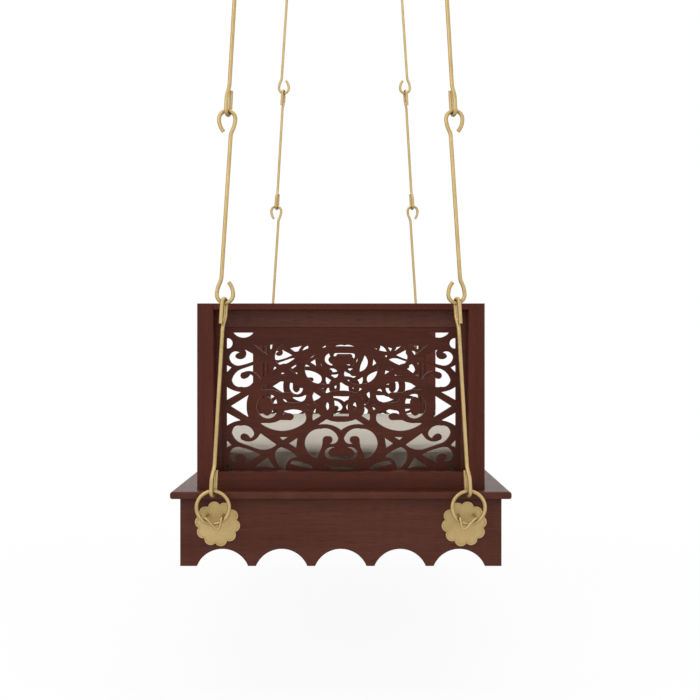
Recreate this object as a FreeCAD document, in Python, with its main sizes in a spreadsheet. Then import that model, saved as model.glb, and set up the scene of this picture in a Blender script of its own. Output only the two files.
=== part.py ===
"""Jhoola: a ceiling-hung swing seat on four chains of brass rods.

Millimetres, +Z up.  The long side lies along X and the depth along Y.  The origin is at the
centre of the four ceiling studs, on the ceiling plane, so the whole swing hangs below z = 0.
Front is -Y, back is +Y, right is +X and left is -X.
"""
import FreeCAD
import Part
import math
import os

HALF_TURN = 180
Vector = FreeCAD.Vector
X_AXIS = Vector(1, 0, 0)
Y_AXIS = Vector(0, 1, 0)
Z_AXIS = Vector(0, 0, 1)

# Each driving size is written once: alias, value, what it is.
SIZES = [
    ("seat_length", 1524, "seat board along X"),
    ("seat_depth", 686, "seat board along Y"),
    ("board_thickness", 15, "seat board"),
    ("board_rounding", 5, "radius on the seat board's edges"),
    ("board_overhang", 18, "seat board past the aprons"),
    ("apron_depth", 137, "apron, top to bottom"),
    ("apron_thickness", 18, "apron plank"),
    ("scallop_chord", 103.8, "scallop, width at the apron's lower edge"),
    ("scallop_rise", 34.6, "scallop, height"),
    ("scallop_pitch", 119.8, "from one scallop to the next"),
    ("scallop_margin", 33, "least plain end beside the last scallop"),
    ("corner_block_side", 28, "glue block in each corner"),
    ("corner_block_depth", 104, "glue block, top to bottom"),
    ("corner_block_play", 3.5, "glue block below the screw heads"),
    ("batten_width", 45, "cross batten along X"),
    ("batten_depth", 30, "cross batten, top to bottom"),
    ("batten_spacing", 400, "from one batten to the next"),
    ("panel_inset", 36, "end panel behind the seat board's end"),
    ("panel_width", 587, "end panel along Y"),
    ("panel_height", 380, "end panel above the seat board"),
    ("panel_depth", 80, "posts and top rail along X"),
    ("post_width", 33.6, "post along Y"),
    ("post_rounding", 3, "rounded arris of the posts"),
    ("top_rail_height", 12.4, "top rail"),
    ("bottom_rail_height", 36.3, "bottom rail"),
    ("recess_depth", 50, "outer face of the panel to the inner frame"),
    ("frame_thickness", 20, "inner frame along X"),
    ("frame_stile_width", 11, "inner frame, stile"),
    ("frame_head_height", 34.6, "inner frame, head"),
    ("jali_thickness", 12, "pierced board"),
    ("jali_setback", 3, "pierced board behind the inner frame's face"),
    ("jali_side_border", 10.1, "plain edge beside the openings"),
    ("jali_top_border", 11.8, "plain edge above the openings"),
    ("jali_foot_border", 14.2, "plain edge below the openings"),
    ("mattress_thickness", 78, "mattress"),
    ("mattress_width", 600, "mattress along Y"),
    ("mattress_play", 4, "mattress to end panel"),
    ("mattress_rounding", 22, "mattress edges"),
    ("chain_offset", 15, "chain plane beyond the seat board's end"),
    ("ring_drop", 29.4, "ring centre below the seat board's top"),
    ("ring_radius", 32.75, "ring, to the wire's centre"),
    ("ring_wire", 7.5, "ring wire diameter"),
    ("ring_play", 1, "ring wire to the lowest rod"),
    ("rod_diameter", 8, "chain rods"),
    ("rod_play", 0.3, "rod to rod at a hook"),
    ("hook_radius", 16.25, "hook bend"),
    ("hook_neck_radius", 30, "bend at the shank of a hook"),
    ("hook_shoulder_radius", 60, "bend back above the neck"),
    ("hook_neck_angle", 23, "how far the neck leans out"),
    ("hook_tip_radius", 36, "bend of the hook's tip"),
    ("hook_tip_angle", 45, "turn of the hook's tip"),
    ("hook_rod_drop", 383.2, "hook rod, bend to bend"),
    ("hook_rod_lean", 1.0, "hook rod, degrees off plumb, bend to bend"),
    ("eye_rod_drop", 392.8, "eye rod, bend to bend"),
    ("eye_rod_lean", 3.35, "eye rod, degrees off plumb"),
    ("eye_radius", 9.5, "eye bend"),
    ("eye_neck_radius", 30, "bends of the eye rod's neck"),
    ("eye_neck_angle", 25, "how far the eye rod's neck leans"),
    ("eye_strand", 30, "straight strand of an eye beside its return"),
    ("eye_return", 50, "eye's return strand, from the bend to its cut end"),
    ("eye_twist", 20, "eye plane turned about the rod"),
    ("link_bar", 10, "swing link, eye bar's thickness"),
    ("link_eye_radius", 15, "swing link, eye bar centre"),
    ("link_chamfer", 3, "swing link, edges of its eye"),
    ("link_drop", 25, "swing link, axle to eye centre"),
    ("barrel_diameter", 24, "swing link barrel"),
    ("barrel_length", 40, "swing link barrel along X"),
    ("axle_diameter", 12, "clevis pin"),
    ("axle_fit", 0.05, "clevis pin to its bores, on the radius"),
    ("axle_head_diameter", 18, "clevis pin head"),
    ("axle_head_thickness", 4, "clevis pin head"),
    ("axle_depth", 24, "axle below the bracket plate"),
    ("bracket_length", 84, "bracket plate along X"),
    ("bracket_width", 60, "bracket plate along Y"),
    ("bracket_plate", 6, "bracket plate thickness"),
    ("cheek_thickness", 6, "bracket cheek"),
    ("cheek_radius", 18, "round foot of a cheek"),
    ("cheek_play", 0.3, "cheek to barrel"),
    ("stud_diameter", 12, "ceiling stud"),
    ("stud_height", 70, "ceiling stud above the ceiling plane"),
    ("stud_play", 0.3, "ceiling stud in its hole, on the radius"),
    ("stud_nut_width", 19, "ceiling stud's nut across flats"),
    ("stud_nut_height", 8, "ceiling stud's nut"),
    ("stud_end", 1.5, "stud below its nut"),
    ("rosette_radius", 45.85, "rosette, to the tip of a lobe"),
    ("rosette_lobes", 10, "lobes round the rosette"),
    ("rosette_lobe_radius", 12.85, "one lobe"),
    ("rosette_turn", 6.5, "degrees from level to the first lobe"),
    ("rosette_thickness", 2.5, "rosette plate"),
    ("rosette_rim", 3.5, "raised rim"),
    ("rosette_rim_height", 0.9, "raised rim above the plate"),
    ("rosette_inward", 5.7, "rosette centre inward of the ring's"),
    ("rosette_drop", 37, "rosette centre below the ring's"),
    ("staple_wire", 5, "staple wire diameter"),
    ("staple_bend", 5, "staple bends, to the wire's centre"),
    ("staple_outer", 14, "outer leg from the ring's centre line"),
    ("staple_inner", 18, "inner leg from the ring's centre line"),
    ("staple_leg_drop", 19, "legs below the ring's centre"),
    ("staple_vertex", 12.6, "vertex inward of the ring's centre line"),
    ("staple_vertex_drop", 47.6, "vertex below the ring's centre"),
    ("staple_reach", 8, "staple's face beyond the chain plane"),
    ("staple_play", 0.1, "staple in its holes, on the radius"),
    ("staple_nut_width", 8, "staple nut across flats"),
    ("staple_nut_height", 4, "staple nut"),
    ("staple_washer_radius", 6, "staple washer"),
    ("staple_washer_height", 1, "staple washer"),
    ("staple_end", 2, "staple thread past its nut"),
    ("washer_play", 4, "outer washer to the glue block beside it"),
    ("screw_diameter", 5, "wood screw shank"),
    ("screw_length", 55, "wood screw under its head"),
    ("screw_point", 8, "wood screw's pointed end"),
    ("screw_head_radius", 4.5, "wood screw head"),
    ("screw_head_height", 2.5, "wood screw head"),
    ("screw_play", 0.2, "wood screw in its holes, on the radius"),
    ("screw_spacing", 40, "two screws under a post, along X"),
    ("screw_inward", 10.8, "screws inward of the post's middle"),
]

document = FreeCAD.newDocument("Jhoola")
sheet = document.addObject("Spreadsheet::Sheet", "Sizes")
for row, (alias, value, note) in enumerate(SIZES, start=1):
    sheet.set(f"A{row}", alias)
    sheet.set(f"B{row}", str(value))
    sheet.set(f"C{row}", note)
    sheet.setAlias(f"B{row}", alias)
document.recompute()


def size(alias):
    """A driving size, read from the sheet."""
    return float(sheet.get(alias))


# Sizes that follow from the driving ones.
SEAT_HALF_LENGTH = size("seat_length") / 2
APRON_FACE = SEAT_HALF_LENGTH - size("board_overhang")
APRON_HALF_WIDTH = size("seat_depth") / 2 - size("board_overhang")
PANEL_FACE = SEAT_HALF_LENGTH - size("panel_inset")
PANEL_BACK = PANEL_FACE - size("panel_depth")
FRAME_FACE = PANEL_FACE - size("recess_depth")
POST_EDGE = size("panel_width") / 2 - size("post_width")
CHAIN_X = SEAT_HALF_LENGTH + size("chain_offset")
BLOCK_SIDE_Y = APRON_HALF_WIDTH - size("apron_thickness") - size("corner_block_side")
RING_Y = BLOCK_SIDE_Y - size("washer_play") - size("staple_washer_radius") - size("staple_outer")
ROD_RADIUS = size("rod_diameter") / 2
RING_WIRE_RADIUS = size("ring_wire") / 2
HOOK_STEP = size("rod_diameter") + size("rod_play")

# Heights down one chain, from the ceiling to the seat.
AXLE_Z = -size("bracket_plate") - size("axle_depth")
LINK_EYE_Z = AXLE_Z - size("link_drop")
CHAIN_TOP_Z = LINK_EYE_Z - size("link_eye_radius") + size("link_bar") / 2 + size("rod_play") + ROD_RADIUS
UPPER_HOOK_FOOT_Z = CHAIN_TOP_Z - size("hook_rod_drop")
UPPER_EYE_TOP_Z = UPPER_HOOK_FOOT_Z + HOOK_STEP
UPPER_EYE_FOOT_Z = UPPER_EYE_TOP_Z - size("eye_rod_drop")
LOWER_HOOK_TOP_Z = UPPER_EYE_FOOT_Z + HOOK_STEP
LOWER_HOOK_FOOT_Z = LOWER_HOOK_TOP_Z - size("hook_rod_drop")
LOWER_EYE_TOP_Z = LOWER_HOOK_FOOT_Z + HOOK_STEP
LOWER_EYE_FOOT_Z = LOWER_EYE_TOP_Z - size("eye_rod_drop")
RING_TOP_Z = LOWER_EYE_FOOT_Z + ROD_RADIUS + size("ring_play") + RING_WIRE_RADIUS
RING_Z = RING_TOP_Z - size("ring_radius")
SEAT_Z = RING_Z + size("ring_drop")
BOARD_FOOT_Z = SEAT_Z - size("board_thickness")
BLOCK_TOP_Z = BOARD_FOOT_Z - size("screw_head_height") - size("corner_block_play")

# Each rod leans towards the middle as it rises.
HOOK_SHIFT = size("hook_rod_drop") * math.tan(math.radians(size("hook_rod_lean")))
EYE_SHIFT = size("eye_rod_drop") * math.tan(math.radians(size("eye_rod_lean")))
LOWER_JOINT_Y = RING_Y - EYE_SHIFT
MIDDLE_JOINT_Y = LOWER_JOINT_Y - HOOK_SHIFT
UPPER_JOINT_Y = MIDDLE_JOINT_Y - EYE_SHIFT
CEILING_Y = UPPER_JOINT_Y - HOOK_SHIFT

ENDS = {"right": 1, "left": -1}
SIDES = {"front": -1, "back": 1}
CORNERS = {f"{end}_{side}": (ENDS[end], SIDES[side]) for end in ENDS for side in SIDES}

nodes = []


def keep(piece, label):
    """Label a finished sub-part and put it on the list of nodes."""
    piece.Label = label
    nodes.append(piece)
    return piece


def bind(piece, **formulas):
    """Bind properties of a piece to the sheet; a formula names the aliases bare."""
    for name, formula in formulas.items():
        for alias, _, _ in SIZES:
            formula = replace_word(formula, alias, f"Sizes.{alias}")
        piece.setExpression(name, formula)


def replace_word(text, word, new):
    """Replace whole words only, so that one alias inside another stays."""
    parts = []
    token = ""
    for letter in text + " ":
        if letter.isalnum() or letter in "_.":
            token += letter
        else:
            parts.append(new if token == word else token)
            parts.append(letter)
            token = ""
    return "".join(parts).strip()


def new_body(name):
    """An empty PartDesign body."""
    return document.addObject("PartDesign::Body", name)


def origin_feature(body, role):
    """One of a body's own origin planes or axes."""
    return next(f for f in body.Origin.OriginFeatures if f.Role == role)


def new_sketch(body, name, role, geometry, offset=0.0):
    """A sketch on one of the body's origin planes, moved along the plane's normal."""
    sketch = body.newObject("Sketcher::SketchObject", name)
    sketch.AttachmentSupport = [(origin_feature(body, role), "")]
    sketch.MapMode = "FlatFace"
    sketch.AttachmentOffset = FreeCAD.Placement(Vector(0, 0, offset), FreeCAD.Rotation())
    sketch.addGeometry(geometry)
    return sketch


def new_pad(body, sketch, name, length, side_type="Symmetric", reversed_way=False):
    """Pad a sketch; length is a formula on the sheet."""
    pad = body.newObject("PartDesign::Pad", name)
    pad.Profile = sketch
    pad.SideType = side_type
    pad.Reversed = reversed_way
    bind(pad, Length=length)
    body.Tip = pad
    return pad


def new_pocket(body, sketch, name, length):
    """Cut a sketch out of a body, as far to both sides of its plane."""
    pocket = body.newObject("PartDesign::Pocket", name)
    pocket.Profile = sketch
    pocket.SideType = "Symmetric"
    bind(pocket, Length=length)
    body.Tip = pocket
    return pocket


def new_round(body, base, name, edges, radius):
    """Round the named edges of a body's last feature."""
    fillet = body.newObject("PartDesign::Fillet", name)
    fillet.Base = (base, edges)
    bind(fillet, Radius=radius)
    body.Tip = fillet
    return fillet


def edges_along(shape, axis):
    """Names of the straight edges that run along an axis."""
    names = []
    for number, edge in enumerate(shape.Edges, start=1):
        run = edge.lastVertex().Point - edge.firstVertex().Point
        if run.Length > 0 and abs(run.normalize().dot(axis)) > 0.999:
            names.append(f"Edge{number}")
    return names


def round_edges(shape, radii):
    """Names of the circular edges that have one of the radii."""
    return [
        f"Edge{number}" for number, edge in enumerate(shape.Edges, start=1)
        if isinstance(edge.Curve, Part.Circle) and any(abs(edge.Curve.Radius - r) < 1e-6 for r in radii)
    ]


def polygon(points):
    """Closed outline of straight lines."""
    vectors = [Vector(x, y, 0) for x, y in points]
    return [Part.LineSegment(a, b) for a, b in zip(vectors, vectors[1:] + vectors[:1])]


def rectangle(left, right, low, high):
    """Closed rectangle."""
    return polygon([(left, low), (right, low), (right, high), (left, high)])


def circle(x, y, radius):
    """Circle in a sketch."""
    return Part.Circle(Vector(x, y, 0), Z_AXIS, radius)


def arc_through(start, middle, end):
    """Arc in a sketch through three points."""
    return Part.Arc(Vector(*start, 0), Vector(*middle, 0), Vector(*end, 0))


def place(piece, x, y, z, rotation=None):
    """Put a piece at a point, turned about its own origin."""
    piece.Placement = FreeCAD.Placement(Vector(x, y, z), rotation or FreeCAD.Rotation())


def compound(label, pieces):
    """Loose alike pieces that share a node."""
    group = document.addObject("Part::Compound", label)
    group.Links = pieces
    return keep(group, label)


class Path:
    """A flat bent wire: straight runs joined by tangent bends, drawn from the shank outwards."""

    def __init__(self):
        self.x = 0.0
        self.y = 0.0
        self.heading = 90.0
        self.geometry = []

    def run(self, length):
        """Go straight on."""
        angle = math.radians(self.heading)
        start = Vector(self.x, self.y, 0)
        self.x += length * math.cos(angle)
        self.y += length * math.sin(angle)
        self.geometry.append(Part.LineSegment(start, Vector(self.x, self.y, 0)))

    def bend(self, radius, degrees):
        """Turn by so many degrees, to the left if positive."""
        side = math.copysign(1.0, degrees)
        centre_way = math.radians(self.heading + 90 * side)
        centre_x = self.x + radius * math.cos(centre_way)
        centre_y = self.y + radius * math.sin(centre_way)
        points = []
        for share in (0.0, 0.5, 1.0):
            way = centre_way + math.pi + math.radians(degrees * share)
            points.append((centre_x + radius * math.cos(way), centre_y + radius * math.sin(way)))
        self.geometry.append(arc_through(*points))
        self.x, self.y = points[-1]
        self.heading += degrees


def bent_rod(name, role, axis_role, path):
    """A round rod: half of it follows the path, and a half turn makes the other half."""
    body = new_body(name)
    spine = new_sketch(body, name + "_path", role, path.geometry)
    section = new_sketch(body, name + "_section", "XY_Plane", [circle(0, 0, ROD_RADIUS)])
    pipe = body.newObject("PartDesign::AdditivePipe", name + "_pipe")
    pipe.Profile = section
    pipe.Spine = (spine, [])
    turn = body.newObject("PartDesign::PolarPattern", name + "_turn")
    turn.Originals = [pipe]
    turn.Axis = (origin_feature(body, axis_role), [""])
    turn.Angle = 360
    turn.Occurrences = 2
    body.Tip = turn
    return body


def hook_path():
    """Half a hook rod; its path lies in Y-Z and ends in the hook's curled tip."""
    neck = math.radians(size("hook_neck_angle"))
    neck_radii = size("hook_neck_radius") + size("hook_shoulder_radius")
    aside = size("hook_radius") - neck_radii * (1 - math.cos(neck))
    rise = size("hook_radius") + neck_radii * math.sin(neck)
    half_span = size("hook_rod_drop") / math.cos(math.radians(size("hook_rod_lean"))) / 2
    path = Path()
    path.run(math.sqrt(half_span ** 2 - aside ** 2) - rise)
    path.bend(size("hook_neck_radius"), -size("hook_neck_angle"))
    path.bend(size("hook_shoulder_radius"), size("hook_neck_angle"))
    path.bend(size("hook_radius"), HALF_TURN)
    path.bend(size("hook_tip_radius"), size("hook_tip_angle"))
    shank_lean = math.degrees(math.asin(aside / half_span)) + size("hook_rod_lean")
    return path, shank_lean


def eye_path():
    """Half an eye rod; its path lies in X-Z and doubles back beside the shank."""
    neck = math.radians(size("eye_neck_angle"))
    neck_radius = size("eye_neck_radius")
    slant = (size("eye_radius") - 2 * neck_radius * (1 - math.cos(neck))) / math.sin(neck)
    rise = 2 * neck_radius * math.sin(neck) + slant * math.cos(neck)
    half_span = size("eye_rod_drop") / math.cos(math.radians(size("eye_rod_lean"))) / 2
    strand = size("eye_strand") - size("eye_radius")
    path = Path()
    path.run(half_span - size("eye_radius") - strand - rise)
    path.bend(neck_radius, size("eye_neck_angle"))
    path.run(slant)
    path.bend(neck_radius, -size("eye_neck_angle"))
    path.run(strand)
    path.bend(size("eye_radius"), -HALF_TURN)
    path.run(size("eye_return") - size("eye_radius"))
    return path


def chain_rods():
    """Four rods for each of the four chains: eye, hook, eye, hook from the seat upwards."""
    half_turn = FreeCAD.Rotation(Z_AXIS, HALF_TURN)
    hook_line, shank_lean = hook_path()
    hook_levels = {"lower": (LOWER_HOOK_FOOT_Z, LOWER_JOINT_Y), "upper": (UPPER_HOOK_FOOT_Z, UPPER_JOINT_Y)}
    eye_levels = {"lower": (LOWER_EYE_FOOT_Z, RING_Y), "upper": (UPPER_EYE_FOOT_Z, MIDDLE_JOINT_Y)}
    for corner, (end, side) in CORNERS.items():
        for level, (foot_z, foot_y) in hook_levels.items():
            rod = bent_rod(f"hook_{corner}_{level}", "YZ_Plane", "X_Axis", hook_line)
            turn = FreeCAD.Rotation(X_AXIS, -shank_lean)
            if side > 0:
                turn = half_turn * turn
            middle_y = side * (foot_y - HOOK_SHIFT / 2)
            place(rod, end * CHAIN_X, middle_y, foot_z + size("hook_rod_drop") / 2, turn)
            keep(rod, f"hook_rod_{level}_{corner}")
        for level, (foot_z, foot_y) in eye_levels.items():
            rod = bent_rod(f"eye_{corner}_{level}", "XZ_Plane", "Y_Axis", eye_path())
            twist = FreeCAD.Rotation(Z_AXIS, side * size("eye_twist"))
            lean = FreeCAD.Rotation(X_AXIS, side * size("eye_rod_lean"))
            middle_y = side * (foot_y - EYE_SHIFT / 2)
            place(rod, end * CHAIN_X, middle_y, foot_z + size("eye_rod_drop") / 2, lean * twist)
            keep(rod, f"eye_rod_{level}_{corner}")


def rings():
    """The four rings that hang the seat from the lowest rods."""
    for corner, (end, side) in CORNERS.items():
        ring = document.addObject("Part::Torus", f"ring_{corner}")
        bind(ring, Radius1="ring_radius", Radius2="ring_wire / 2")
        place(ring, end * CHAIN_X, side * RING_Y, RING_Z, FreeCAD.Rotation(Y_AXIS, 90))
        keep(ring, f"ring_{corner}")


def staple_legs(side):
    """Y of a staple's outer and inner leg."""
    return side * (RING_Y + size("staple_outer")), side * (RING_Y - size("staple_inner"))


def rounded_wire(points, radius):
    """A wire through the points with its corners rounded."""
    edges = []
    start = points[0]
    for before, corner, after in zip(points, points[1:], points[2:]):
        way_in = (before - corner).normalize()
        way_out = (after - corner).normalize()
        half_angle = way_in.getAngle(way_out) / 2
        reach = radius / math.tan(half_angle)
        bisector = (way_in + way_out).normalize()
        middle = corner + bisector * (radius / math.sin(half_angle) - radius)
        bend_start = corner + way_in * reach
        bend_end = corner + way_out * reach
        edges.append(Part.LineSegment(start, bend_start).toShape())
        edges.append(Part.Arc(bend_start, middle, bend_end).toShape())
        start = bend_end
    edges.append(Part.LineSegment(start, points[-1]).toShape())
    return Part.Wire(edges)


def staples():
    """Bent-wire staples: two threaded legs through the apron and a V in front of the ring."""
    leg_z = RING_Z - size("staple_leg_drop")
    back_x = APRON_FACE - size("apron_thickness") - size("staple_washer_height") \
        - size("staple_nut_height") - size("staple_end")
    face_x = CHAIN_X + size("staple_reach")
    for corner, (end, side) in CORNERS.items():
        outer_y, inner_y = staple_legs(side)
        vertex_y = side * (RING_Y - size("staple_vertex"))
        points = [
            Vector(end * back_x, outer_y, leg_z),
            Vector(end * face_x, outer_y, leg_z),
            Vector(end * face_x, vertex_y, RING_Z - size("staple_vertex_drop")),
            Vector(end * face_x, inner_y, leg_z),
            Vector(end * back_x, inner_y, leg_z),
        ]
        wire = rounded_wire(points, size("staple_bend"))
        section = Part.Wire(Part.Circle(points[0], X_AXIS, size("staple_wire") / 2).toShape())
        staple = document.addObject("Part::Feature", f"staple_{corner}")
        staple.Shape = wire.makePipeShell([section], True, True)
        keep(staple, f"staple_{corner}")


def staple_nuts():
    """A washer and a hexagon nut on each staple leg, behind the apron."""
    pieces = []
    inner_face = APRON_FACE - size("apron_thickness")
    leg_z = RING_Z - size("staple_leg_drop")
    inwards = {1: FreeCAD.Rotation(Y_AXIS, -90), -1: FreeCAD.Rotation(Y_AXIS, 90)}
    for corner, (end, side) in CORNERS.items():
        for number, leg_y in enumerate(staple_legs(side)):
            washer = drilled(
                f"washer_{corner}_{number}", "Part::Cylinder", "staple_wire / 2 + staple_play",
                Radius="staple_washer_radius", Height="staple_washer_height")
            place(washer, end * inner_face, leg_y, leg_z, inwards[end])
            nut = drilled(
                f"nut_{corner}_{number}", "Part::Prism", "staple_wire / 2 + staple_play",
                Circumradius="staple_nut_width / sqrt(3)", Height="staple_nut_height")
            nut_x = inner_face - size("staple_washer_height")
            place(nut, end * nut_x, leg_y, leg_z, inwards[end])
            pieces += [washer, nut]
    compound("staple_nuts", pieces)


def drilled(name, kind, bore_radius, **formulas):
    """A round or hexagonal blank with a bore along its axis."""
    blank = document.addObject(kind, name + "_blank")
    bind(blank, **formulas)
    bore = document.addObject("Part::Cylinder", name + "_bore")
    bind(bore, Radius=bore_radius, Height=formulas["Height"])
    cut = document.addObject("Part::Cut", name)
    cut.Base = blank
    cut.Tool = bore
    return cut


def lobed_outline(tip_radius, first_way):
    """Outline of round lobes about the origin; first_way is the angle of one lobe's tip."""
    lobes = int(size("rosette_lobes"))
    lobe_radius = size("rosette_lobe_radius") * tip_radius / size("rosette_radius")
    centre_radius = tip_radius - lobe_radius
    half_step = math.pi / lobes
    half_gap = centre_radius * math.sin(half_step)
    valley_radius = centre_radius * math.cos(half_step) + math.sqrt(lobe_radius ** 2 - half_gap ** 2)
    outline = []
    for number in range(lobes):
        tip_way = first_way + 2 * half_step * number
        ways = [(valley_radius, tip_way - half_step), (tip_radius, tip_way), (valley_radius, tip_way + half_step)]
        outline.append(arc_through(*[(r * math.cos(way), r * math.sin(way)) for r, way in ways]))
    return outline


def rosettes():
    """Pressed brass flowers behind the staples; the rim stands above the plate.

    Each is drawn flat, its face towards +Z, then stood up against its end apron.
    """
    turn = math.radians(size("rosette_turn"))
    hole_radius = size("staple_wire") / 2 + size("staple_play")
    for corner, (end, side) in CORNERS.items():
        first_way = math.atan2(-side * math.cos(turn), end * math.sin(turn))
        body = new_body(f"flower_{corner}")
        blank = new_sketch(body, f"flower_{corner}_blank", "XY_Plane", lobed_outline(size("rosette_radius"), first_way))
        new_pad(body, blank, f"flower_{corner}_pad", "rosette_thickness", "One side")
        dish_outline = lobed_outline(size("rosette_radius") - size("rosette_rim"), first_way)
        dish = new_sketch(body, f"flower_{corner}_dish", "XY_Plane", dish_outline, size("rosette_thickness"))
        new_pocket(body, dish, f"flower_{corner}_dishing", "2 * rosette_rim_height")
        centre_y = side * (RING_Y - size("rosette_inward"))
        leg_rise = size("rosette_drop") - size("staple_leg_drop")
        holes = [circle(-end * leg_rise, leg_y - centre_y, hole_radius) for leg_y in staple_legs(side)]
        legs = new_sketch(body, f"flower_{corner}_legs", "XY_Plane", holes)
        new_pocket(body, legs, f"flower_{corner}_leg_holes", "4 * rosette_thickness")
        centre_z = RING_Z - size("rosette_drop")
        place(body, end * APRON_FACE, centre_y, centre_z, FreeCAD.Rotation(Y_AXIS, 90 * end))
        keep(body, f"rosette_{corner}")


def ceiling_brackets():
    """Clevis brackets: a plate against the ceiling and two round-footed cheeks."""
    foot = size("axle_depth") + size("bracket_plate")
    half_cheek = size("cheek_radius")
    plate = size("bracket_plate")
    side_view = [
        Part.LineSegment(Vector(half_cheek, -foot, 0), Vector(half_cheek, -plate / 2, 0)),
        Part.LineSegment(Vector(half_cheek, -plate / 2, 0), Vector(-half_cheek, -plate / 2, 0)),
        Part.LineSegment(Vector(-half_cheek, -plate / 2, 0), Vector(-half_cheek, -foot, 0)),
        arc_through((-half_cheek, -foot), (0, -foot - half_cheek), (half_cheek, -foot)),
    ]
    gap_low = -foot - 2 * half_cheek
    for corner, (end, side) in CORNERS.items():
        body = new_body(f"clevis_{corner}")
        cheeks = new_sketch(body, f"clevis_{corner}_cheeks", "YZ_Plane", side_view)
        new_pad(body, cheeks, f"clevis_{corner}_block", "barrel_length + 2 * cheek_play + 2 * cheek_thickness")
        gap = new_sketch(
            body, f"clevis_{corner}_gap", "YZ_Plane", rectangle(-2 * half_cheek, 2 * half_cheek, gap_low, 0))
        new_pocket(body, gap, f"clevis_{corner}_mouth", "barrel_length + 2 * cheek_play")
        half_length = size("bracket_length") / 2
        half_width = size("bracket_width") / 2
        flat = new_sketch(
            body, f"clevis_{corner}_flat", "XY_Plane", rectangle(-half_length, half_length, -half_width, half_width))
        new_pad(body, flat, f"clevis_{corner}_plate", "bracket_plate", "One side", True)
        bore = new_sketch(
            body, f"clevis_{corner}_bore", "YZ_Plane",
            [circle(0, -foot, size("axle_diameter") / 2 + size("axle_fit"))])
        new_pocket(body, bore, f"clevis_{corner}_axle_bore", "2 * bracket_length")
        stud = new_sketch(
            body, f"clevis_{corner}_stud", "XY_Plane",
            [circle(0, 0, size("stud_diameter") / 2 + size("stud_play"))])
        new_pocket(body, stud, f"clevis_{corner}_stud_hole", "3 * bracket_plate")
        place(body, end * CHAIN_X, side * CEILING_Y, 0)
        keep(body, f"ceiling_bracket_{corner}")


def anchor_bolts():
    """A stud into the ceiling through each bracket, and the nut that holds the bracket up."""
    pieces = []
    for corner, (end, side) in CORNERS.items():
        stud = document.addObject("Part::Cylinder", f"stud_{corner}")
        bind(stud, Radius="stud_diameter / 2",
             Height="stud_height + bracket_plate + stud_nut_height + stud_end")
        stud_foot = -size("bracket_plate") - size("stud_nut_height") - size("stud_end")
        place(stud, end * CHAIN_X, side * CEILING_Y, stud_foot)
        nut = drilled(
            f"stud_nut_{corner}", "Part::Prism", "stud_diameter / 2",
            Circumradius="stud_nut_width / sqrt(3)", Height="stud_nut_height")
        place(nut, end * CHAIN_X, side * CEILING_Y, -size("bracket_plate") - size("stud_nut_height"))
        threaded = document.addObject("Part::Fuse", f"stud_with_nut_{corner}")
        threaded.Base = stud
        threaded.Tool = nut
        pieces.append(threaded)
    compound("anchor_bolts", pieces)


def axle_pins():
    """Clevis pins, their heads on the outer cheeks."""
    pieces = []
    half_stack = size("barrel_length") / 2 + size("cheek_play") + size("cheek_thickness")
    for corner, (end, side) in CORNERS.items():
        shank = document.addObject("Part::Cylinder", f"pin_{corner}_shank")
        bind(shank, Radius="axle_diameter / 2",
             Height="barrel_length + 2 * cheek_play + 2 * cheek_thickness + axle_head_thickness")
        head = document.addObject("Part::Cylinder", f"pin_{corner}_head")
        bind(head, Radius="axle_head_diameter / 2", Height="axle_head_thickness")
        inwards = FreeCAD.Rotation(Y_AXIS, 90 * end)
        place(shank, end * (CHAIN_X - half_stack - size("axle_head_thickness")), side * CEILING_Y, AXLE_Z, inwards)
        place(head, end * (CHAIN_X + half_stack), side * CEILING_Y, AXLE_Z, inwards)
        pin = document.addObject("Part::Fuse", f"pin_{corner}")
        pin.Base = shank
        pin.Tool = head
        pieces.append(pin)
    compound("axle_pins", pieces)


def swing_links():
    """The moving half of each ceiling hook: a barrel on the pin with a chamfered eye below."""
    outer_radius = size("link_eye_radius") + size("link_bar") / 2
    inner_radius = size("link_eye_radius") - size("link_bar") / 2
    for corner, (end, side) in CORNERS.items():
        body = new_body(f"swivel_{corner}")
        outside = new_sketch(
            body, f"swivel_{corner}_round", "YZ_Plane", [circle(0, 0, size("barrel_diameter") / 2)])
        new_pad(body, outside, f"swivel_{corner}_barrel", "barrel_length")
        eye = new_sketch(
            body, f"swivel_{corner}_ring", "XZ_Plane",
            [circle(0, -size("link_drop"), radius) for radius in (outer_radius, inner_radius)])
        flat_eye = new_pad(body, eye, f"swivel_{corner}_eye", "link_bar")
        document.recompute()
        chamfer = body.newObject("PartDesign::Chamfer", f"swivel_{corner}_edges")
        chamfer.Base = (flat_eye, round_edges(flat_eye.Shape, (outer_radius, inner_radius)))
        bind(chamfer, Size="link_chamfer")
        body.Tip = chamfer
        bore = new_sketch(
            body, f"swivel_{corner}_hole", "YZ_Plane",
            [circle(0, 0, size("axle_diameter") / 2 + size("axle_fit"))])
        new_pocket(body, bore, f"swivel_{corner}_bore", "2 * barrel_length")
        place(body, end * CHAIN_X, side * CEILING_Y, AXLE_Z)
        keep(body, f"swing_link_{corner}")


def seat_board():
    """The deck: one wide board, rounded all round, drilled for the post screws."""
    body = new_body("deck")
    half_depth = size("seat_depth") / 2
    outline = new_sketch(
        body, "deck_outline", "XY_Plane",
        rectangle(-SEAT_HALF_LENGTH, SEAT_HALF_LENGTH, -half_depth, half_depth))
    plank = new_pad(body, outline, "deck_plank", "board_thickness", "One side")
    document.recompute()
    rim = edges_along(plank.Shape, X_AXIS) + edges_along(plank.Shape, Y_AXIS)
    new_round(body, plank, "deck_rim", rim, "board_rounding")
    hole_radius = size("screw_diameter") / 2 + size("screw_play")
    holes = new_sketch(body, "deck_holes", "XY_Plane", [circle(x, y, hole_radius) for x, y in screw_points()])
    new_pocket(body, holes, "deck_drilling", "4 * board_thickness")
    place(body, 0, 0, BOARD_FOOT_Z)
    keep(body, "seat_board")


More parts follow.
